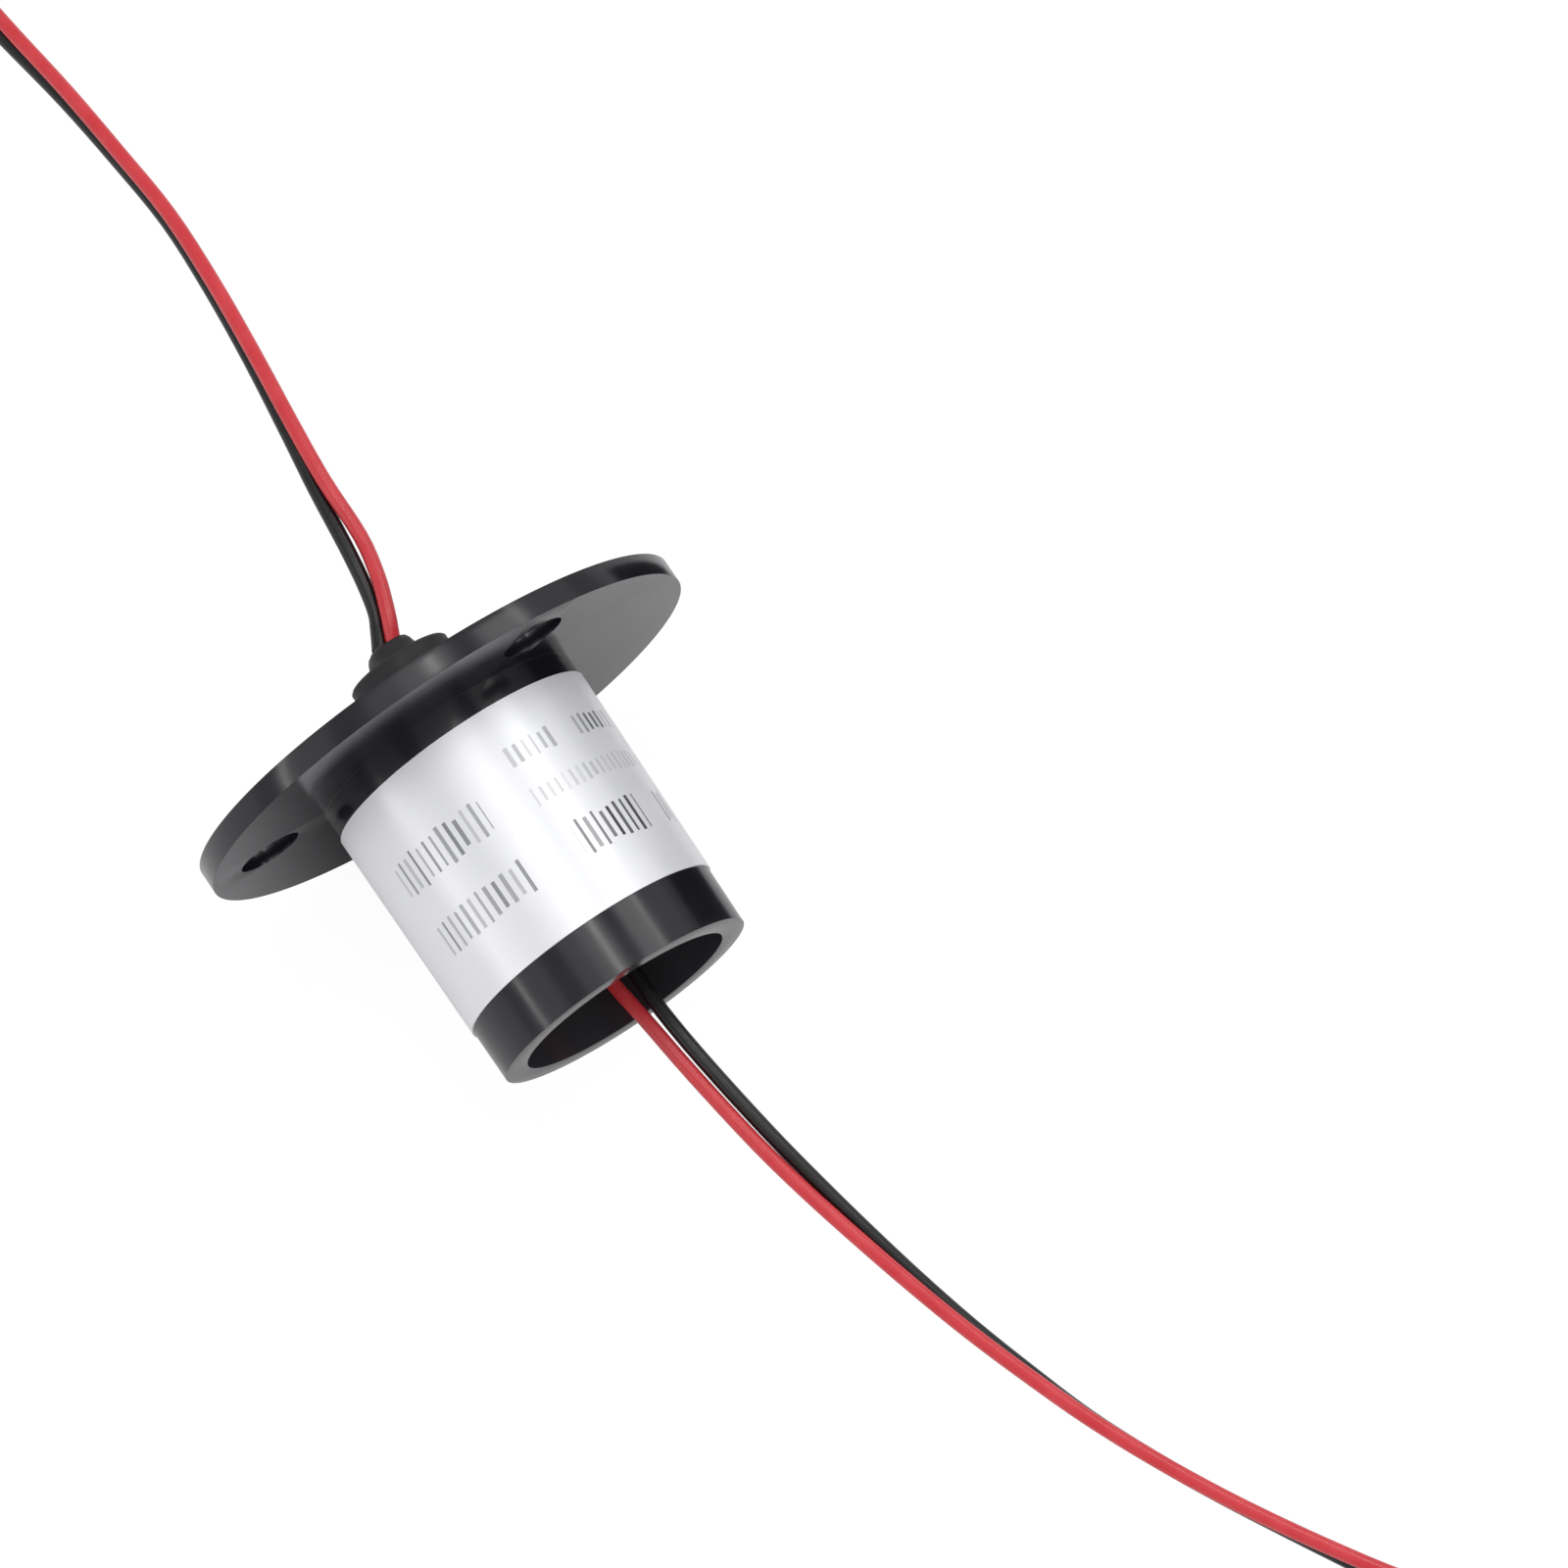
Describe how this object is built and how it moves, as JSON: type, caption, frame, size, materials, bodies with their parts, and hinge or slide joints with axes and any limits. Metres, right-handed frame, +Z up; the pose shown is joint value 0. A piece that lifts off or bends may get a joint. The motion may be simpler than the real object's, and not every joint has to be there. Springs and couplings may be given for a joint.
{
  "type": "slip ring",
  "caption": "Capsule slip ring with a round screw-on flange, a labelled barrel, a turning hub, and red and black flying leads from the hub and the open end.",
  "frame": {"origin": "centre of the flange's seating face, on the barrel side", "axes": "+X along the rotation axis from the hub to the open end of the barrel, +Z up, with one fixing hole on -Y"},
  "size_m": [0.1273, 0.0427, 0.0248],
  "materials": {
    "black_housing": "glossy moulded black plastic",
    "silver_label": "silver-white satin label film",
    "bearing_steel": "ground bearing steel",
    "bearing_cage": "pressed brass",
    "carrier_plastic": "black moulded plastic",
    "circuit_board": "green glass-fibre board",
    "gold_alloy": "gold alloy spring wire",
    "gold_ring": "gold-plated brass",
    "barrier_plastic": "ivory moulded plastic",
    "solder": "tin solder",
    "potting": "black epoxy resin",
    "insulation_red": "glossy red lead insulation",
    "insulation_black": "glossy black lead insulation",
    "tinned_copper": "tinned stranded copper",
    "tie_plastic": "white paper-covered tie",
    "rotor_plastic": "black moulded plastic"
  },
  "bodies": {
    "stator": {"housing": "black_housing", "label": "silver_label", "front_bearing_outer_ring": "bearing_steel", "rear_bearing_outer_ring": "bearing_steel", "rear_bearing_carrier": "carrier_plastic", "brush_board": "circuit_board", "brush_pair_1": "gold_alloy", "brush_pair_2": "gold_alloy", "stator_solder_joints": "solder", "stator_lead_red_inner": "insulation_red", "stator_lead_black_inner": "insulation_black", "stator_end_potting": "potting", "stator_lead_red": "insulation_red", "stator_coil_red": "insulation_red", "stator_tie_red": "tie_plastic", "stator_tip_red": "tinned_copper", "stator_lead_black": "insulation_black", "stator_coil_black": "insulation_black", "stator_tie_black": "tie_plastic", "stator_tip_black": "tinned_copper", "rotor_lead_red": "insulation_red", "rotor_coil_red": "insulation_red", "rotor_tie_red": "tie_plastic", "rotor_tip_red": "tinned_copper", "rotor_lead_black": "insulation_black", "rotor_coil_black": "insulation_black", "rotor_tie_black": "tie_plastic", "rotor_tip_black": "tinned_copper"},
    "rotor": {"rotor_spindle": "rotor_plastic", "barrier_front": "barrier_plastic", "ring_track_1": "gold_ring", "barrier_middle": "barrier_plastic", "ring_track_2": "gold_ring", "barrier_rear": "barrier_plastic", "stack_lock_ring": "bearing_steel", "front_retaining_clip": "bearing_steel", "front_bearing_inner_ring": "bearing_steel", "rear_bearing_inner_ring": "bearing_steel", "hub_potting": "potting", "rotor_lead_red_inner": "insulation_red", "rotor_lead_black_inner": "insulation_black", "ring_terminals": "tinned_copper"},
    "front_cage": {"front_bearing_cage": "bearing_cage", "front_bearing_balls": "bearing_steel"},
    "rear_cage": {"rear_bearing_cage": "bearing_cage", "rear_bearing_balls": "bearing_steel"}
  },
  "joints": [
    {"name": "rotor_spin", "type": "hinge", "parent": "stator", "child": "rotor", "pos_m": [0, 0, 0], "axis": [1, 0, 0], "continuous": true},
    {"name": "front_cage_spin", "type": "hinge", "parent": "stator", "child": "front_cage", "pos_m": [0.0003, 0, 0], "axis": [1, 0, 0], "continuous": true},
    {"name": "rear_cage_spin", "type": "hinge", "parent": "stator", "child": "rear_cage", "pos_m": [0.0098, 0, 0], "axis": [1, 0, 0], "continuous": true}
  ],
  "couplings": [
    {"joint": "front_cage_spin", "follows": "rotor_spin", "ratio": 0.423},
    {"joint": "rear_cage_spin", "follows": "rotor_spin", "ratio": 0.411}
  ]
}
